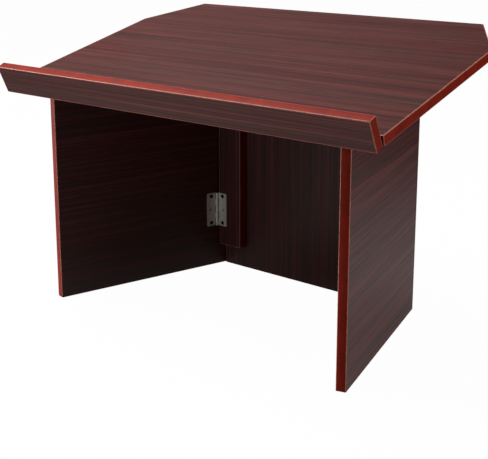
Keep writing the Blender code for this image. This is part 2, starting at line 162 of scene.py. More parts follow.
class HingeSettings(bpy.types.PropertyGroup):
    leaf_width: length("Leaf width", 21, "From the pin's axis to the leaf's edge")
    leaf_thickness: length("Leaf thickness", 1.2, "Thickness of the steel sheet")
    leaf_corner: length("Leaf corner", 2.2, "Radius of the leaf's outer corners")
    edge_round: length("Edge rounding", 0.22, "Rounding of the pressed sheet's edges")
    barrel_radius: length("Barrel radius", 2.7, "Outside radius of the knuckles")
    pin_radius: length("Pin radius", 1.5, "Radius of the hinge pin")
    pin_stand_out: length("Pin stand-out", 0.8, "How far the pin's ends pass the barrel")
    pin_clearance: length("Pin clearance", 0.1, "Between the pin and its bore")
    barrel_gap: length("Knuckle gap", 0.3, "Between two knuckles")
    knuckles: IntProperty(name="Knuckles", description="Knuckles on the barrel", default=5, min=3)
    seat: length("Seat", 0.3, "Between a leaf and the board it lies on")
    steel: colour("Steel", "EFECE4", "Colour of the zinc-plated steel")


class ScrewSettings(bpy.types.PropertyGroup):
    head_radius: length("Head radius", 3.5, "Radius of a countersunk head")
    shank_radius: length("Shank radius", 1.5, "Radius of a screw's shank")
    depth: length("Depth", 11.5, "How far a screw goes into the board")
    reach: length("Reach", 11.5, "From the pin's axis to a screw")
    end_distance: length("End distance", 6, "From a leaf's end to a screw")
    middle_reach: length("Middle reach", 13.5, "From the pin's axis to the middle screw")
    middle_head: length("Middle head radius", 2.1, "Radius of the small middle screw's head")
    clearance: length("Clearance", 0.2, "Between a head and its countersink")
    black: colour("Black", "1E1C1C", "Colour of the blackened screws")
    bright: colour("Bright", "E9E6DF", "Colour of the small bright screws")


class StageSettings(bpy.types.PropertyGroup):
    azimuth: FloatProperty(
        name="Azimuth",
        description="Camera's direction round the stand, from the reader's side",
        default=math.radians(39.54),
        subtype="ANGLE",
    )
    elevation: FloatProperty(
        name="Elevation", description="Camera's tilt", default=math.radians(13.67), subtype="ANGLE"
    )
    distance: length("Distance", 1682.7, "From the camera to the point it looks at")
    lens: FloatProperty(name="Lens", description="Focal length on a 36 mm sensor", default=77.98)
    shift: FloatProperty(name="Shift", description="Camera's vertical shift", default=-0.13)
    target: FloatVectorProperty(
        name="Target",
        description="Point that the camera looks at",
        default=(0.0079, -0.0292, 0.2531),
        subtype="TRANSLATION",
    )
    floor: colour("Floor", "62615F", "Colour of the floor to the light that it scatters")
    floor_glow: FloatProperty(name="Floor glow", description="Brightness of the floor", default=1.155)
    # The pool is a painted reflection: a glow of the floor round the stand that only glossy rays see.
    pool: FloatProperty(name="Pool", description="Share of the glow that is mirrored", default=0.27)
    ambient: FloatProperty(name="Ambient", description="Light from all round", default=0.05)


class LecternSettings(bpy.types.PropertyGroup):
    band: PointerProperty(type=BandSettings)
    laminate: PointerProperty(type=LaminateSettings)
    hinge: PointerProperty(type=HingeSettings)
    screw: PointerProperty(type=ScrewSettings)
    stage: PointerProperty(type=StageSettings)


# ---------------------------------------------------------------- mesh helpers


def add_piece(name, mesh, material, body, replaced=()):
    """Links a finished mesh as a piece that moves with a body and stands for CAD nodes."""
    obj = bpy.data.objects.new(name, mesh)
    bpy.context.scene.collection.objects.link(obj)
    if not mesh.materials:
        mesh.materials.append(material)
    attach(obj, body)
    if replaced:
        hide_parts(*replaced)
    return obj


def mesh_from(work, name):
    bmesh.ops.recalc_face_normals(work, faces=work.faces)
    mesh = bpy.data.meshes.new(name)
    work.to_mesh(mesh)
    work.free()
    return mesh


def shade_round(mesh, degrees=35):
    mesh.shade_smooth()
    mesh.set_sharp_from_angle(angle=math.radians(degrees))


def baked(obj):
    """The object's evaluated mesh, as a new mesh of its own; the object is removed."""
    graph = bpy.context.evaluated_depsgraph_get()
    mesh = bpy.data.meshes.new_from_object(obj.evaluated_get(graph))
    bpy.data.objects.remove(obj)
    return mesh


def bench_object(name, mesh):
    obj = bpy.data.objects.new(name, mesh)
    bpy.context.scene.collection.objects.link(obj)
    return obj


def cut(obj, tool, operation="DIFFERENCE"):
    modifier = obj.modifiers.new(operation.title(), "BOOLEAN")
    modifier.operation = operation
    modifier.solver = "EXACT"
    modifier.object = tool
    return modifier


def rod(radius, low, high, sides=32, end_radius=None):
    """A rod or cone along Z."""
    work = bmesh.new()
    bmesh.ops.create_cone(
        work,
        cap_ends=True,
        segments=sides,
        radius1=radius,
        radius2=radius if end_radius is None else end_radius,
        depth=high - low,
        matrix=Matrix.Translation((0, 0, (low + high) / 2)),
    )
    return mesh_from(work, "rod")


def facing(origin, x_way, y_way):
    """The matrix that puts a mesh's own X and Y along two square directions at a point."""
    turn = Matrix((x_way, y_way, x_way.cross(y_way))).transposed()
    return Matrix.Translation(origin) @ turn.to_4x4()


# ---------------------------------------------------------------- material helpers


def set_inputs(tree, node, inputs):
    """Gives each input, by name or number, a value or another node's output."""
    for key, value in inputs.items():
        if isinstance(value, bpy.types.NodeSocket):
            tree.links.new(value, node.inputs[key])
        else:
            node.inputs[key].default_value = value


def add_node(tree, kind, inputs=None, **settings):
    """A node with its settings and its inputs."""
    node = tree.nodes.new(kind)
    for key, value in settings.items():
        setattr(node, key, value)
    set_inputs(tree, node, inputs or {})
    return node


def new_material(name):
    """A material, its tree, its shader and the object coordinates in it."""
    material = bpy.data.materials.new(name)
    material.use_nodes = True
    tree = material.node_tree
    place = add_node(tree, "ShaderNodeTexCoord").outputs["Object"]
    return material, tree, tree.nodes["Principled BSDF"], place


def speckle(tree, place, size, detail=3.0):
    """Even noise whose spots are about `size` metres wide."""
    noise = {"Vector": place, "Scale": 1 / size, "Detail": detail}
    return add_node(tree, "ShaderNodeTexNoise", noise).outputs["Fac"]


def streaks(tree, place, width, run, detail=2.0):
    """Noise drawn out along X: `width` metres across the grain and `run` metres along it."""
    scale = (1 / run, 1 / width, 1 / width)
    stretched = add_node(tree, "ShaderNodeMapping", {"Vector": place, "Scale": scale}).outputs[0]
    noise = {"Vector": stretched, "Scale": 1.0, "Detail": detail, "Roughness": 0.6}
    return add_node(tree, "ShaderNodeTexNoise", noise).outputs["Fac"]


def toned(tree, value, low, high, first, second):
    """A colour that goes from the first to the second as a value goes from low to high."""
    share = add_node(tree, "ShaderNodeMapRange", {"Value": value, "From Min": low, "From Max": high})
    ends = {0: share.outputs[0]}
    for key, end in ((6, first), (7, second)):
        ends[key] = end if isinstance(end, bpy.types.NodeSocket) else (*end, 1)
    return add_node(tree, "ShaderNodeMix", ends, data_type="RGBA").outputs[2]


def finish_surface(tree, shader, colour, height, depth, rough, smooth, ior=None):
    """Colour, relief `depth` metres deep, and roughness from `rough` in its pits to `smooth` on top."""
    gloss = {"Value": height, "From Min": 0.3, "From Max": 0.7, "To Min": rough, "To Max": smooth}
    relief = {"Height": height, "Distance": depth}
    inputs = {
        "Base Color": colour,
        "Roughness": add_node(tree, "ShaderNodeMapRange", gloss).outputs[0],
        "Normal": add_node(tree, "ShaderNodeBump", relief).outputs[0],
    }
    if ior:
        inputs["IOR"] = ior
    set_inputs(tree, shader, inputs)


def laminate_material(name, grain_turn, offset, settings):
    """Melamine laminate on board: a printed dark mahogany grain under a clear, semi-matt wear layer.

    The eye gets straight, crisp streaks of three widths, fine black pores, a slow change from red to
    grey brown, and a soft sheen broken by the shallow pressed grain.
    """
    material, tree, shader, place = new_material(name)
    moved = {"Vector": place, "Rotation": grain_turn, "Location": offset}
    turned = add_node(tree, "ShaderNodeMapping", moved).outputs[0]
    fine = streaks(tree, turned, settings.fine, 0.34, 3.0)
    medium = streaks(tree, turned, settings.medium, 0.8)
    broad = streaks(tree, turned, settings.broad, 1.8)
    lines = add_node(tree, "ShaderNodeMix", {0: 0.58, 2: medium, 3: fine}).outputs[0]
    figure = add_node(tree, "ShaderNodeMix", {0: 0.18, 2: lines, 3: broad}).outputs[0]
    ground = toned(tree, figure, 0.41, 0.50, settings.dark, settings.middle)
    wood = toned(tree, figure, 0.50, 0.60, ground, settings.light)
    tint = streaks(tree, turned, settings.broad * 0.6, 0.9)
    reddish = toned(tree, tint, 0.40, 0.60, settings.red, settings.grey)
    tinted = {0: settings.tint, 6: wood, 7: reddish}
    print_colour = add_node(tree, "ShaderNodeMix", tinted, data_type="RGBA").outputs[2]
    pores = streaks(tree, turned, settings.pore, 0.05)
    inked = toned(tree, pores, 0.60, 0.68, print_colour, settings.dark)
    finish_surface(tree, shader, inked, fine, 0.00003, 0.42, 0.34, 1.5)
    return material


def band_material(settings):
    """PVC edge band, extruded and satin: an even red brown with a faint mottle and a fine grit."""
    material, tree, shader, place = new_material("red_brown_pvc_edge_band")
    grit = speckle(tree, place, 0.0011, 2.0)
    mottle = speckle(tree, place, 0.022)
    uneven = add_node(tree, "ShaderNodeMix", {0: 0.3, 2: mottle, 3: grit}).outputs[0]
    base = Vector(settings.colour)
    shade = toned(tree, uneven, 0.35, 0.65, base * 0.8, base * 1.16)
    finish_surface(tree, shader, shade, grit, 0.00002, 0.58, 0.48, 1.53)
    set_inputs(tree, shader, {"Specular IOR Level": 0.15})
    return material


def scraped_material(settings):
    """The same PVC where the trimming knife scraped it: stress-whitened, pink and matt."""
    material, tree, shader, place = new_material("scraped_pvc_arris")
    chatter = speckle(tree, place, 0.0038)
    base = Vector(settings.scraped)
    shade = toned(tree, chatter, 0.35, 0.65, base * 0.7, base * 1.1)
    finish_surface(tree, shader, shade, chatter, 0.00004, 0.62, 0.58, 1.53)
    return material


def metal_material(name, rgb, roughness, spread, grain):
    """Plated or blackened steel: an even metal whose gloss clouds over at the plating's grain."""
    material, tree, shader, place = new_material(name)
    cloud = speckle(tree, place, grain, 4.0)
    base = Vector(rgb)
    shade = toned(tree, cloud, 0.3, 0.7, base * 0.72, base)
    finish_surface(tree, shader, shade, cloud, 0.00002, roughness + spread, roughness - spread)
    set_inputs(tree, shader, {"Metallic": 1.0})
    return material


def solid_wood_material(name, dark, light, turn, roughness):
    """Solid wood: narrow pores drawn out along the grain, dull where it is end grain or stained."""
    material, tree, shader, place = new_material(name)
    turned = add_node(tree, "ShaderNodeMapping", {"Vector": place, "Rotation": turn}).outputs[0]
    fine = streaks(tree, turned, 0.0012, 0.03, 3.0)
    shade = toned(tree, fine, 0.35, 0.65, linear(dark), linear(light))
    finish_surface(tree, shader, shade, fine, 0.00006, roughness + 0.05, roughness - 0.05)
    return material


# ---------------------------------------------------------------- boards and strip


class LECTERN_OT_boards(bpy.types.Operator):
    """Gives the boards their laminate, each with its own grain direction, and the woods theirs"""

    bl_idname = "lectern.boards"
    bl_label = "Boards"

    def execute(self, context):
        settings = context.scene.lectern.laminate
        upright = Euler((0, math.pi / 2, 0))
        # A board's grain runs along its own length, and the print starts elsewhere on each board.
        grains = {
            "desk_board": (Euler((0, 0, 0)), (0.13, 0.05, 0.0)),
            "book_ledge": (Euler((0, 0, 0)), (0.61, 0.22, 0.3)),
            "back_panel": (upright, (0.2, 0.0, 0.1)),
            "hinge_batten": (upright, (0.9, 0.4, 0.5)),
            "left_side_panel": (Euler((0, 0, math.pi / 2 + SPLAY)), (0.33, 0.7, 0.0)),
            "right_side_panel": (Euler((0, 0, math.pi / 2 - SPLAY)), (0.57, 0.1, 0.2)),
        }
        for name, (turn, offset) in grains.items():
            material = laminate_material(f"mahogany_laminate_{name}", turn, offset, settings)
            self.paint(name, material)
        stained = solid_wood_material("stained_softwood", "2A1614", "4A2A26", (0, 0, 0), 0.6)
        self.paint("ledge_strip", stained)
        beech = solid_wood_material("beech", "B98E62", "D9B68A", (0, 0, math.pi / 2), 0.6)
        for name in frame["nodes"]:
            if name.startswith("ledge_dowel"):
                self.paint(name, beech)
        return {"FINISHED"}

    def paint(self, name, material):
        mesh = frame["nodes"][name].data
        mesh.materials.clear()
        mesh.materials.append(material)


# ---------------------------------------------------------------- edge bands


def hull(points):
    """The convex outline of flat points, anticlockwise, with no point along a straight side."""
    points = sorted(set((round(x, 6), round(y, 6)) for x, y in points))

    def turn(a, b, c):
        return (b[0] - a[0]) * (c[1] - a[1]) - (b[1] - a[1]) * (c[0] - a[0])

    def half(run):
        chain = []
        for point in run:
            while len(chain) > 1 and turn(chain[-2], chain[-1], point) < 1e-8:
                chain.pop()
            chain.append(point)
        return chain[:-1]

    return [Vector(p) for p in half(points) + half(points[::-1])]


def with_flats(outline, size):
    """The outline with each corner cut back by `size` along both sides."""
    points = []
    for i, corner in enumerate(outline):
        before = (outline[i - 1] - corner).normalized()
        after = (outline[(i + 1) % len(outline)] - corner).normalized()
        points += [corner + before * size, corner + after * size]
    return points


def inset(outline, distance):
    """A convex outline moved in by a distance on every side."""
    count = len(outline)
    runs = [(outline[(i + 1) % count] - outline[i]).normalized() for i in range(count)]
    starts = [p + Vector((-run.y, run.x)) * distance for p, run in zip(outline, runs)]
    points = []
    for i in range(count):
        a, run_a = starts[i - 1], runs[i - 1]
        b, run_b = starts[i], runs[i]
        cross = run_a.x * run_b.y - run_a.y * run_b.x
        step = ((b.x - a.x) * run_b.y - (b.y - a.y) * run_b.x) / cross
        points.append(a + run_a * step)
    return points


def band_section(thickness, cover, arris, steps=4):
    """The band's closed section as (depth from the edge, height), and which of its runs are scraped."""
    turns = [math.radians(90 * i / steps) for i in range(steps + 1)]
    upper = [(arris - arris * math.sin(t), thickness - arris + arris * math.cos(t)) for t in turns]
    lower = [(arris - arris * math.cos(t), arris - arris * math.sin(t)) for t in turns]
    # Only the flat outer face and the glued inner face are left as they were extruded.
    scraped = [True] * steps + [False] + [True] * (steps + 1) + [False, True]
    return [*upper, *lower, (cover, 0.0), (cover, thickness)], scraped


def closed_loops(outline, section, corner):
    """The band's outline at each point of its section, all the way round a board."""
    corners = with_flats(outline, corner)
    return [inset(corners, depth) for depth, _ in section]


def open_loops(outline, section, corner):
    """The same for a board with a bare foot: the band's two ends stay square, just above the floor."""
    foot = min(p.y for p in outline)
    top = [p for p in outline if p.y > foot + MM]
    feet = sorted((p for p in outline if p.y <= foot + MM), key=lambda p: p.x)
    left, right = feet[0], feet[1]
    corners = with_flats(feet + sorted(top, key=lambda p: -p.x), corner)
    loops = []
    for depth, _ in section:
        # The first four points are the flats of the two foot corners, which the square ends replace.
        loop = inset(corners, depth)[4:]
        loops.append([Vector((right.x - depth, foot)), *loop, Vector((left.x + depth, foot))])
    return loops


def band_mesh(name, settings):
    _, along, up, bare_foot = BOARDS[name]
    normal = along.cross(up)
    points = [v.co for v in frame["nodes"][name + "_edge_band"].data.vertices]
    outline = hull((p.dot(along), p.dot(up)) for p in points)
    heights = [p.dot(normal) for p in points]
    low, thickness = min(heights), max(heights) - min(heights)
    section, scraped = band_section(thickness, settings.cover, settings.arris)
    make_loops = open_loops if bare_foot else closed_loops
    loops = make_loops(outline, section, settings.corner)
    count, sides = len(loops[0]), len(loops)
    edges = [loops[0][(i + 1) % count] - loops[0][i] for i in range(count)]
    work = bmesh.new()
    rings = []
    for loop, (_, height) in zip(loops, section):
        rings.append([work.verts.new(along * p.x + up * p.y + normal * (low + height)) for p in loop])
    for i in range(count - 1 if bare_foot else count):
        filed = edges[i].length < 2 * settings.corner
        for k in range(sides):
            j, m = (i + 1) % count, (k + 1) % sides
            face = work.faces.new((rings[k][i], rings[k][j], rings[m][j], rings[m][i]))
            face.material_index = int(scraped[k] or filed)
    if bare_foot:
        for i in (0, count - 1):
            work.faces.new([ring[i] for ring in rings])
    return mesh_from(work, name + "_banding")


class LECTERN_OT_edge_bands(bpy.types.Operator):
    """Wraps each board in its band, with trimmed and scraped edges"""

    bl_idname = "lectern.edge_bands"
    bl_label = "Edge bands"

    def execute(self, context):
        settings = context.scene.lectern.band
        band, scraped = band_material(settings), scraped_material(settings)
        for name, (body, *_) in BOARDS.items():
            mesh = band_mesh(name, settings)
            mesh.materials.append(band)
            mesh.materials.append(scraped)
            shade_round(mesh)
            add_piece(name + "_banding", mesh, band, body, [name + "_edge_band"])
        return {"FINISHED"}


# ---------------------------------------------------------------- hinges


def knuckle_spans(settings, first):
    """Start and end along the pin of every other knuckle, from the first or the second."""
    foot = -hinge_length() / 2
    pitch = hinge_length() / settings.knuckles
    gap = settings.barrel_gap / 2
    for i in range(first, settings.knuckles, 2):
        low = foot + i * pitch + (gap if i else 0)
        high = foot + (i + 1) * pitch - (gap if i < settings.knuckles - 1 else 0)
        yield low, high


def hinge_length():
    low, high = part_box("left_lower_hinge_fixed_leaf")
    return high.z - low.z


def pin_centre(name):
    low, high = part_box(name + "_pin")
    return (low + high) / 2


def rounded(points, radius, corners, steps=5):
    """The outline with the numbered corners rounded."""
    result = []
    for i, point in enumerate(points):
        corner = Vector(point)
        if i not in corners:
            result.append(corner)
            continue
        before = (Vector(points[i - 1]) - corner).normalized()
        after = (Vector(points[(i + 1) % len(points)]) - corner).normalized()
        centre = corner + (before + after) * radius
        for k in range(steps + 1):
            angle = math.pi / 2 * k / steps
            result.append(centre - after * radius * math.cos(angle) - before * radius * math.sin(angle))
    return result


def sheet_mesh(outline, thickness, edge):
    """A pressed sheet from a flat outline in XY, centred on Z = 0, its edges slightly rounded."""
    curve = bpy.data.curves.new("sheet", "CURVE")
    curve.dimensions = "2D"
    curve.fill_mode = "BOTH"
    curve.extrude = thickness / 2 - edge
    curve.bevel_depth = edge
    curve.bevel_resolution = 1
    curve.offset = -edge
    spline = curve.splines.new("POLY")
    spline.points.add(len(outline) - 1)
    for point, place in zip(spline.points, outline):
        point.co = (place.x, place.y, 0, 1)
    spline.use_cyclic_u = True
    mesh = baked(bench_object("sheet", curve))
    work = bmesh.new()
    work.from_mesh(mesh)
    bmesh.ops.remove_doubles(work, verts=work.verts, dist=0.000005)
    return mesh_from(work, "sheet")


def plate_face(hinge):
    """From the pin's axis to the face of a leaf's plate that is seen."""
    return hinge.barrel_radius - hinge.leaf_thickness


def leaf_sheet(hinge, first):
    """A leaf's flat plate, with a tongue to each of its knuckles."""
    half = hinge_length() / 2
    inner = hinge.barrel_radius + hinge.seat
    inside = 0.1 * MM
    comb = [(inner, -half), (hinge.leaf_width, -half), (hinge.leaf_width, half), (inner, half)]
    for low, high in reversed(list(knuckle_spans(hinge, first))):
        comb += [(inner, high - inside), (0, high - inside), (0, low + inside), (inner, low + inside)]
    outline = rounded(comb, hinge.leaf_corner, {1, 2})
    sheet = sheet_mesh(outline, hinge.leaf_thickness, hinge.edge_round)
    middle = plate_face(hinge) + hinge.leaf_thickness / 2
    sheet.transform(facing(AXIS_Y * middle, AXIS_X, AXIS_Z))
    return sheet


def countersink_mesh(hinge, screw, reach, z, head, shank):
    """The cone that sinks one screw's head into a leaf, a clearance wider and past both its faces."""
    slope = (head - shank) / hinge.leaf_thickness
    wide = head + screw.clearance + slope * hinge.seat
    narrow = shank + screw.clearance - slope * hinge.seat / 2
    cone = rod(wide, 0, hinge.leaf_thickness + 1.5 * hinge.seat, 28, narrow)
    cone.transform(facing(Vector((reach, plate_face(hinge) - hinge.seat, z)), AXIS_X, -AXIS_Z))
    return cone


def leaf_mesh(hinge, screw, first):
    """One leaf: the pin is on Z, the plate runs out along +X, and the board's face is at +Y."""
    leaf = bench_object("leaf", leaf_sheet(hinge, first))
    tools = []
    for low, high in knuckle_spans(hinge, first):
        barrel = bench_object("barrel", rod(hinge.barrel_radius, low, high))
        bevel = barrel.modifiers.new("Bevel", "BEVEL")
        bevel.width = 0.2 * MM
        bevel.segments = 2
        bevel.limit_method = "ANGLE"
        bevel.angle_limit = math.radians(40)
        cut(leaf, barrel, "UNION")
        tools.append(barrel)
    reach = hinge_length()
    bore = bench_object("bore", rod(hinge.pin_radius + hinge.pin_clearance, -reach, reach))
    cut(leaf, bore)
    tools.append(bore)
    places = [(screw.reach, z, screw.head_radius, screw.shank_radius) for z in screw_heights(screw)]
    places.append((screw.middle_reach, 0, screw.middle_head, screw.middle_head / 2))
    for place in places:
        sink = bench_object("countersink", countersink_mesh(hinge, screw, *place))
        cut(leaf, sink)
        tools.append(sink)
    mesh = baked(leaf)
    for tool in tools:
        bpy.data.objects.remove(tool)
    mesh.materials.clear()
    return mesh


def screw_heights(screw):
    height = hinge_length() / 2 - screw.end_distance
    return (height, -height)


class LECTERN_OT_hinge_leaves(bpy.types.Operator):
    """Makes the two leaves of every butt hinge, with knuckles, bore and countersinks"""

    bl_idname = "lectern.hinge_leaves"
    bl_label = "Hinge leaves"

    def execute(self, context):
        settings = context.scene.lectern
        steel = metal_material("zinc_plated_steel", settings.hinge.steel, 0.48, 0.1, 0.0016)
        patterns = {
            kind: leaf_mesh(settings.hinge, settings.screw, first)
            for kind, first in (("fixed", 0), ("moving", 1))
        }
        for name, leaves in HINGES.items():
            for kind, (body, plate_way, board_way) in leaves.items():
                mesh = patterns[kind].copy()
                mesh.transform(facing(pin_centre(name), plate_way, board_way))
                shade_round(mesh)
                # The flat of the plate keeps its own normal beside the round of the barrel.
                for polygon in mesh.polygons:
                    polygon.use_smooth = polygon.area < LARGEST_ROUND_FACE
                piece = f"{name}_{kind}_leaf_plate"
                add_piece(piece, mesh, steel, body, [f"{name}_{kind}_leaf"])
        return {"FINISHED"}


def pin_mesh(hinge, steps=4, sides=24):
    """A pin along Z whose ends are low domes, ring by ring so that its faces keep one order."""
    half = hinge_length() / 2 + hinge.pin_stand_out
    rings = []
    for i in range(1, steps + 1):
        angle = math.pi / 2 * (1 - i / steps)
        height = half - hinge.pin_stand_out * (1 - math.sin(angle))
        rings.append((hinge.pin_radius * math.cos(angle), height))
    rings += [(radius, -height) for radius, height in reversed(rings)]
    turns = [math.tau * k / sides for k in range(sides)]
    work = bmesh.new()
    top, bottom = work.verts.new((0, 0, half)), work.verts.new((0, 0, -half))
    rows = [[work.verts.new((r * math.cos(t), r * math.sin(t), z)) for t in turns] for r, z in rings]
    for k in range(sides):
        m = (k + 1) % sides
        work.faces.new((top, rows[0][k], rows[0][m]))
        work.faces.new((bottom, rows[-1][m], rows[-1][k]))
        for upper, lower in zip(rows, rows[1:]):
            work.faces.new((upper[k], lower[k], lower[m], upper[m]))
    return mesh_from(work, "pin")


class LECTERN_OT_hinge_pins(bpy.types.Operator):
    """Makes the pins, their ends riveted over into low domes"""

    bl_idname = "lectern.hinge_pins"
    bl_label = "Hinge pins"

    def execute(self, context):
        hinge = context.scene.lectern.hinge
        steel = metal_material("bright_drawn_steel", linear("D6D3CC"), 0.25, 0.06, 0.001)
        for name, leaves in HINGES.items():
            mesh = pin_mesh(hinge)
            body, plate_way, board_way = leaves["fixed"]
            mesh.transform(facing(pin_centre(name), plate_way, board_way))
            shade_round(mesh)
            add_piece(name + "_riveted_pin", mesh, steel, body, [name + "_pin"])
        return {"FINISHED"}


# ---------------------------------------------------------------- screws


def screw_inputs(tree):
    """Names the tree's sizes, seed and material, and returns them as sockets."""
    sizes = {
        "Head Radius": 3.5 * MM,
        "Head Height": 1.2 * MM,
        "Shank Radius": 1.5 * MM,
        "Shank Length": 10 * MM,
        "Recess Width": 0.9 * MM,
        "Recess Depth": 0.7 * MM,
        "Recess Span": 3.6 * MM,
    }
    tree.interface.new_socket("Geometry", in_out="INPUT", socket_type="NodeSocketGeometry")
    for name, default in sizes.items():
        socket = tree.interface.new_socket(name, in_out="INPUT", socket_type="NodeSocketFloat")
        socket.default_value = default
        socket.subtype = "DISTANCE"
    seed = tree.interface.new_socket("Seed", in_out="INPUT", socket_type="NodeSocketInt")
    seed.default_value = 7
    tree.interface.new_socket("Material", in_out="INPUT", socket_type="NodeSocketMaterial")
    tree.interface.new_socket("Geometry", in_out="OUTPUT", socket_type="NodeSocketGeometry")
    return tree.nodes.new("NodeGroupInput").outputs


def screw_shape(tree, given):
    """One countersunk screw with a cross recess: its head's top is at the origin, its point down -Z."""

    def result(operation, first, second):
        return add_node(tree, "ShaderNodeMath", {0: first, 1: second}, operation=operation).outputs[0]

    def turned_part(vertices, top, bottom, depth, foot):
        """A cone or rod along Z that starts at the height `foot`."""
        sizes = {"Vertices": vertices, "Radius Top": top, "Radius Bottom": bottom, "Depth": depth}
        cone = add_node(tree, "GeometryNodeMeshCone", sizes).outputs["Mesh"]
        place = add_node(tree, "ShaderNodeCombineXYZ", {"Z": foot}).outputs[0]
        moved = {"Geometry": cone, "Translation": place}
        return add_node(tree, "GeometryNodeTransform", moved).outputs[0]

    head_height = given["Head Height"]
    head_foot = result("MULTIPLY", head_height, -1.0)
    head = turned_part(28, given["Head Radius"], given["Shank Radius"], head_height, head_foot)
    overlap = result("MULTIPLY", head_height, 0.5)
    shank_depth = result("ADD", given["Shank Length"], overlap)
    shank_foot = result("SUBTRACT", result("ADD", head_foot, overlap), shank_depth)
    neck = result("MULTIPLY", given["Shank Radius"], 0.96)
    tip = result("MULTIPLY", given["Shank Radius"], 0.3)
    shank = turned_part(14, neck, tip, shank_depth, shank_foot)
    whole = add_node(tree, "GeometryNodeMeshBoolean", operation="UNION", solver="EXACT")
    recessed = add_node(
        tree,
        "GeometryNodeMeshBoolean",
        {0: whole.outputs[0]},
        operation="DIFFERENCE",
        solver="EXACT",
    )
    for part in (head, shank):
        tree.links.new(part, whole.inputs[1])
    bar_height = result("MULTIPLY", given["Recess Depth"], 2.0)
    for long_way, short_way in (("X", "Y"), ("Y", "X")):
        sizes = {long_way: given["Recess Span"], short_way: given["Recess Width"], "Z": bar_height}
        size = add_node(tree, "ShaderNodeCombineXYZ", sizes).outputs[0]
        bar = add_node(tree, "GeometryNodeMeshCube", {"Size": size}).outputs["Mesh"]
        tree.links.new(bar, recessed.inputs[1])
    return recessed.outputs[0]


def screw_tree():
    """A node tree that puts a countersunk, cross-recessed screw on each point, facing its `way`."""
    tree = bpy.data.node_groups.new("Countersunk screws", "GeometryNodeTree")
    given = screw_inputs(tree)
    shape = screw_shape(tree, given)
    way = add_node(
        tree, "GeometryNodeInputNamedAttribute", {"Name": "way"}, data_type="FLOAT_VECTOR"
    ).outputs[0]
    aligned = add_node(
        tree, "FunctionNodeAlignRotationToVector", {"Factor": 1.0, "Vector": way}, axis="Z"
    ).outputs[0]
    angles = {2: 0.0, 3: math.pi / 2, "Seed": given["Seed"]}
    spin = add_node(tree, "FunctionNodeRandomValue", angles, data_type="FLOAT").outputs[1]
    spun = add_node(tree, "ShaderNodeCombineXYZ", {"Z": spin}).outputs[0]
    rotation = {"Rotation": aligned, "Rotate By": spun}
    turn = add_node(tree, "FunctionNodeRotateRotation", rotation, rotation_space="LOCAL").outputs[0]
    copied = {"Points": given["Geometry"], "Instance": shape, "Rotation": turn}
    copies = add_node(tree, "GeometryNodeInstanceOnPoints", copied).outputs[0]
    real = add_node(tree, "GeometryNodeRealizeInstances", {0: copies}).outputs[0]
    coat = {"Geometry": real, "Material": given["Material"]}
    coated = add_node(tree, "GeometryNodeSetMaterial", coat).outputs[0]
    add_node(tree, "NodeGroupOutput", {0: coated})
    return tree


def screws_on(tree, places, material, sizes):
    """A mesh of screws at (point, way) places, the tree's named sizes set by their identifiers."""
    mesh = bpy.data.meshes.new("screw_places")
    mesh.from_pydata([tuple(point) for point, _ in places], [], [])
    ways = mesh.attributes.new("way", "FLOAT_VECTOR", "POINT")
    for item, (_, way) in zip(ways.data, places):
        item.vector = way
    obj = bench_object("screw_places", mesh)
    modifier = obj.modifiers.new("Screws", "NODES")
    modifier.node_group = tree
    named = {item.name: item.identifier for item in tree.interface.items_tree if item.in_out == "INPUT"}
    for name, value in {**sizes, "Material": material}.items():
        modifier[named[name]] = value
    made = baked(obj)
    work = bmesh.new()
    work.from_mesh(made)
    bmesh.ops.remove_doubles(work, verts=work.verts, dist=0.000001)
    work.to_mesh(made)
    work.free()
    shade_round(made)
    return made


def screw_sites(reach, heights):
    """For each body, the head's place, the way it faces, and the leaf it holds."""
    hinge = bpy.context.scene.lectern.hinge
    sites = {}
    for name, leaves in HINGES.items():
        for kind, (body, plate_way, board_way) in leaves.items():
            along = plate_way.cross(board_way)
            for number, height in enumerate(heights, 1):
                point = pin_centre(name) + plate_way * reach + along * height
                point += board_way * plate_face(hinge)
                site = (point, -board_way, f"{name}_{kind}_leaf_screw_{number}")
                sites.setdefault(body, []).append(site)
    return sites


class LECTERN_OT_screws(bpy.types.Operator):
    """Drives the blackened countersunk screws and the small bright ones through the leaves"""

    bl_idname = "lectern.screws"
    bl_label = "Screws"

    def execute(self, context):
        settings = context.scene.lectern
        screw, hinge = settings.screw, settings.hinge
        tree = screw_tree()
        black = metal_material("black_oxide_steel", screw.black, 0.45, 0.1, 0.0012)
        bright = metal_material("nickel_plated_steel", screw.bright, 0.2, 0.05, 0.001)
        sizes = {
            "Head Radius": screw.head_radius,
            "Head Height": hinge.leaf_thickness,
            "Shank Radius": screw.shank_radius,
            "Shank Length": screw.depth,
            "Seed": 7,
        }
        for body, sites in screw_sites(screw.reach, screw_heights(screw)).items():
            mesh = screws_on(tree, [(p, way) for p, way, _ in sites], black, sizes)
            replaced = [node for *_, node in sites]
            add_piece(f"{body}_countersunk_screws", mesh, black, body, replaced)
        small = {
            "Head Radius": screw.middle_head,
            "Shank Radius": screw.middle_head / 2,
            "Recess Width": 0.5 * MM,
            "Recess Depth": 0.5 * MM,
            "Recess Span": 2.2 * MM,
            "Seed": 3,
        }
        for body, sites in screw_sites(screw.middle_reach, (0.0,)).items():
            mesh = screws_on(tree, [(p, way) for p, way, _ in sites], bright, {**sizes, **small})
            add_piece(f"{body}_middle_screws", mesh, bright, body)
        return {"FINISHED"}


# ---------------------------------------------------------------- stage


LIT_CENTRE = (0, 0, 0.25)
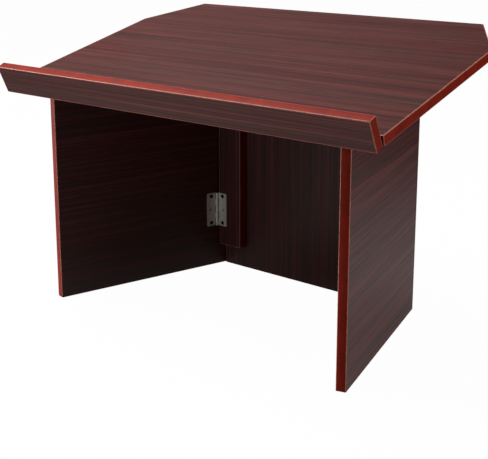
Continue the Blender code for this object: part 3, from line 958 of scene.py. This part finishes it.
# Each softbox: its way out from the lit centre, its width and height in metres, and its watts.
SOFTBOXES = {
    "top_softbox": ((-1.1, -0.35, 2.2), (1.6, 1.6), 58),
    "left_softbox": ((-3.1, -1.7, 0.4), (1.6, 1.3), 90),
    "front_softbox": ((-0.65, -2.4, 0.2), (0.8, 0.8), 3.6),
    "right_softbox": ((2.3, 0.5, 0.5), (1.0, 1.4), 17),
    "back_softbox": ((-1.3, 1.6, 1.3), (1.4, 1.2), 0.6),
}


def area_light(name, centre, way, size, power):
    """A soft rectangular light that shines on `centre` from a distance along `way`."""
    data = bpy.data.lights.new(name, "AREA")
    data.shape = "RECTANGLE"
    data.size, data.size_y = size
    data.energy = power
    light = bpy.data.objects.new(name, data)
    bpy.context.scene.collection.objects.link(light)
    light.location = centre + way
    light.rotation_mode = "QUATERNION"
    light.rotation_quaternion = (-way).to_track_quat("-Z", "Y")


def floor_material(settings):
    """Matt white paper, nearly evenly bright to the eye, with a painted reflection: to glossy rays it glows
    as a pool of light round the stand.
    """
    material, tree, shader, place = new_material("white_paper_with_painted_glow_pool")
    tree.nodes.remove(shader)
    rgb = Vector(settings.floor)
    shade = toned(tree, speckle(tree, place, 0.0025), 0.3, 0.7, rgb * 0.98, rgb)
    paper = add_node(tree, "ShaderNodeBsdfDiffuse", {"Color": shade}).outputs[0]
    glow = add_node(tree, "ShaderNodeEmission", {"Strength": settings.floor_glow}).outputs[0]
    ray = add_node(tree, "ShaderNodeLightPath").outputs
    far = add_node(tree, "ShaderNodeVectorMath", {0: place}, operation="LENGTH").outputs["Value"]
    mirrored_as_painted_reflection = ray["Is Glossy Ray"]
    # Painted reflection with painted shade: the glow that glossy rays see is dimmer in the stand's own
    # shade, brightest just outside it, and gone 1.3 metres from its middle.
    for near, away, start, end in ((0.0, 0.4, 0.0, settings.pool), (0.45, 1.3, 1.0, 0.0)):
        fade = {"Value": far, "From Min": near, "From Max": away, "To Min": start, "To Max": end}
        part = {0: mirrored_as_painted_reflection, 1: add_node(tree, "ShaderNodeMapRange", fade).outputs[0]}
        mirrored_as_painted_reflection = add_node(tree, "ShaderNodeMath", part, operation="MULTIPLY").outputs[0]
    share = {0: ray["Is Camera Ray"], 1: 0.85, 2: mirrored_as_painted_reflection}
    share = add_node(tree, "ShaderNodeMath", share, operation="MULTIPLY_ADD").outputs[0]
    mixed = add_node(tree, "ShaderNodeMixShader", {0: share, 1: paper, 2: glow}).outputs[0]
    tree.links.new(mixed, tree.nodes["Material Output"].inputs["Surface"])
    return material


class LECTERN_OT_stage(bpy.types.Operator):
    """Sets the floor, the soft lights, the surroundings and the camera"""

    bl_idname = "lectern.stage"
    bl_label = "Stage"

    def execute(self, context):
        scene = context.scene
        settings = scene.lectern.stage
        work = bmesh.new()
        bmesh.ops.create_grid(work, x_segments=8, y_segments=8, size=12)
        floor = bench_object("floor", mesh_from(work, "floor"))
        if floor.data.polygons[0].normal.z < 0:
            floor.data.flip_normals()
        floor.data.materials.append(floor_material(settings))
        floor.data.transform(Matrix.Translation((0, 0, -0.2 * MM)))

        world = bpy.data.worlds.new("studio")
        scene.world = world
        world.use_nodes = True
        tree = world.node_tree
        soft = tree.nodes["Background"]
        set_inputs(tree, soft, {"Color": (1, 1, 1, 1), "Strength": settings.ambient})
        plain = add_node(tree, "ShaderNodeBackground", {"Color": (1, 1, 1, 1), "Strength": 1.0})
        seen = add_node(tree, "ShaderNodeLightPath").outputs["Is Camera Ray"]
        sky = {0: seen, 1: soft.outputs[0], 2: plain.outputs[0]}
        mixed = add_node(tree, "ShaderNodeMixShader", sky).outputs[0]
        tree.links.new(mixed, tree.nodes["World Output"].inputs["Surface"])

        for name, (way, size, power) in SOFTBOXES.items():
            area_light(name, Vector(LIT_CENTRE), Vector(way), size, power)

        data = bpy.data.cameras.new("camera")
        data.sensor_width = 36
        data.lens = settings.lens
        data.shift_y = settings.shift
        data.clip_end = 50
        camera = bpy.data.objects.new("camera", data)
        scene.collection.objects.link(camera)
        azimuth, elevation = settings.azimuth, settings.elevation
        back = Vector(
            (
                math.sin(azimuth) * math.cos(elevation),
                -math.cos(azimuth) * math.cos(elevation),
                math.sin(elevation),
            )
        )
        camera.location = Vector(settings.target) + back * settings.distance
        camera.rotation_mode = "QUATERNION"
        camera.rotation_quaternion = (-back).to_track_quat("-Z", "Y")
        scene.camera = camera
        scene.view_settings.view_transform = "Standard"
        return {"FINISHED"}


# ---------------------------------------------------------------- panel and registration


class LECTERN_PT_panel(bpy.types.Panel):
    """Lists the lectern stand's pieces and settings"""

    bl_idname = "LECTERN_PT_panel"
    bl_label = "Lectern Stand"
    bl_space_type = "VIEW_3D"
    bl_region_type = "UI"
    bl_category = "Lectern"

    def draw(self, context):
        layout = self.layout
        for operator in OPERATORS:
            layout.operator(operator.bl_idname)
        settings = context.scene.lectern
        for group in ("band", "laminate", "hinge", "screw", "stage"):
            box = layout.box()
            box.label(text=group.title())
            values = getattr(settings, group)
            for name in values.__annotations__:
                box.prop(values, name)


SETTINGS = (
    BandSettings,
    LaminateSettings,
    HingeSettings,
    ScrewSettings,
    StageSettings,
    LecternSettings,
)
OPERATORS = (
    LECTERN_OT_stage,
    LECTERN_OT_boards,
    LECTERN_OT_edge_bands,
    LECTERN_OT_hinge_leaves,
    LECTERN_OT_hinge_pins,
    LECTERN_OT_screws,
)


def register():
    for kind in (*SETTINGS, *OPERATORS, LECTERN_PT_panel):
        bpy.utils.register_class(kind)
    bpy.types.Scene.lectern = PointerProperty(type=LecternSettings)


def unregister():
    del bpy.types.Scene.lectern
    for kind in reversed((*SETTINGS, *OPERATORS, LECTERN_PT_panel)):
        bpy.utils.unregister_class(kind)


def main():
    register()
    bpy.ops.lectern.stage()
    bpy.ops.lectern.boards()
    bpy.ops.lectern.edge_bands()
    bpy.ops.lectern.hinge_leaves()
    bpy.ops.lectern.hinge_pins()
    bpy.ops.lectern.screws()


if __name__ == "__main__":
    main()
